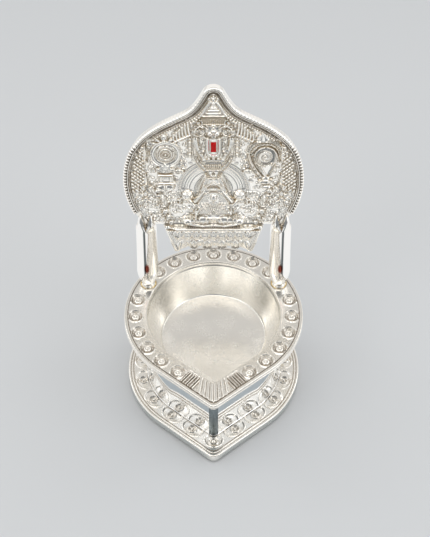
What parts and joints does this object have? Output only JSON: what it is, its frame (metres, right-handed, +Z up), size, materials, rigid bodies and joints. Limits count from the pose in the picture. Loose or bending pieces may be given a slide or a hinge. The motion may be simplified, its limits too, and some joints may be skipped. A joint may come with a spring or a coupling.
{
  "type": "aarti lamp",
  "caption": "Silver leaf-shaped oil lamp: an ornamented base, a mirror wall, an open bowl with a ringed rim, and a leaning onion-shaped back plate on posts.",
  "frame": {"origin": "middle of the footprint, on the surface that the lamp stands on", "axes": "+Z up, -Y towards the pouring tip and the viewer, +X to the viewer's right"},
  "size_m": [0.066, 0.0754, 0.1232],
  "materials": {
    "satin_silver": "silver plated brass, satin, slightly warm",
    "mirror_silver": "silver plated brass, mirror polished",
    "polished_silver": "silver plated brass, polished",
    "cast_silver": "silver plated casting, chased, darker in the recesses",
    "screw_brass": "plain turned brass",
    "red_enamel": "glossy red enamel"
  },
  "bodies": {
    "root": {"base_plate": "satin_silver", "pedestal": "mirror_silver", "bowl": "satin_silver", "rim_band": "satin_silver", "left_post": "polished_silver", "right_post": "polished_silver", "left_post_screw": "screw_brass", "right_post_screw": "screw_brass", "back_plate": "cast_silver", "beaded_border": "polished_silver", "lotus_plinth": "cast_silver", "seated_figure": "cast_silver", "left_hand_lotus": "cast_silver", "right_hand_lotus": "cast_silver", "left_aureole": "cast_silver", "right_aureole": "cast_silver", "wheel_emblem": "cast_silver", "shell_emblem": "cast_silver", "shell_hood": "cast_silver", "u_mark": "polished_silver", "red_enamel": "red_enamel", "left_mark_petal": "cast_silver", "right_mark_petal": "cast_silver", "lion_crest": "cast_silver", "peak_finial": "cast_silver", "left_bead_column": "cast_silver", "right_bead_column": "cast_silver", "left_feather_band": "cast_silver", "right_feather_band": "cast_silver", "left_scale_band": "cast_silver", "right_scale_band": "cast_silver", "left_flower": "cast_silver", "right_flower": "cast_silver", "left_paisley": "cast_silver", "right_paisley": "cast_silver", "left_garland": "cast_silver", "right_garland": "cast_silver"}
  },
  "joints": []
}
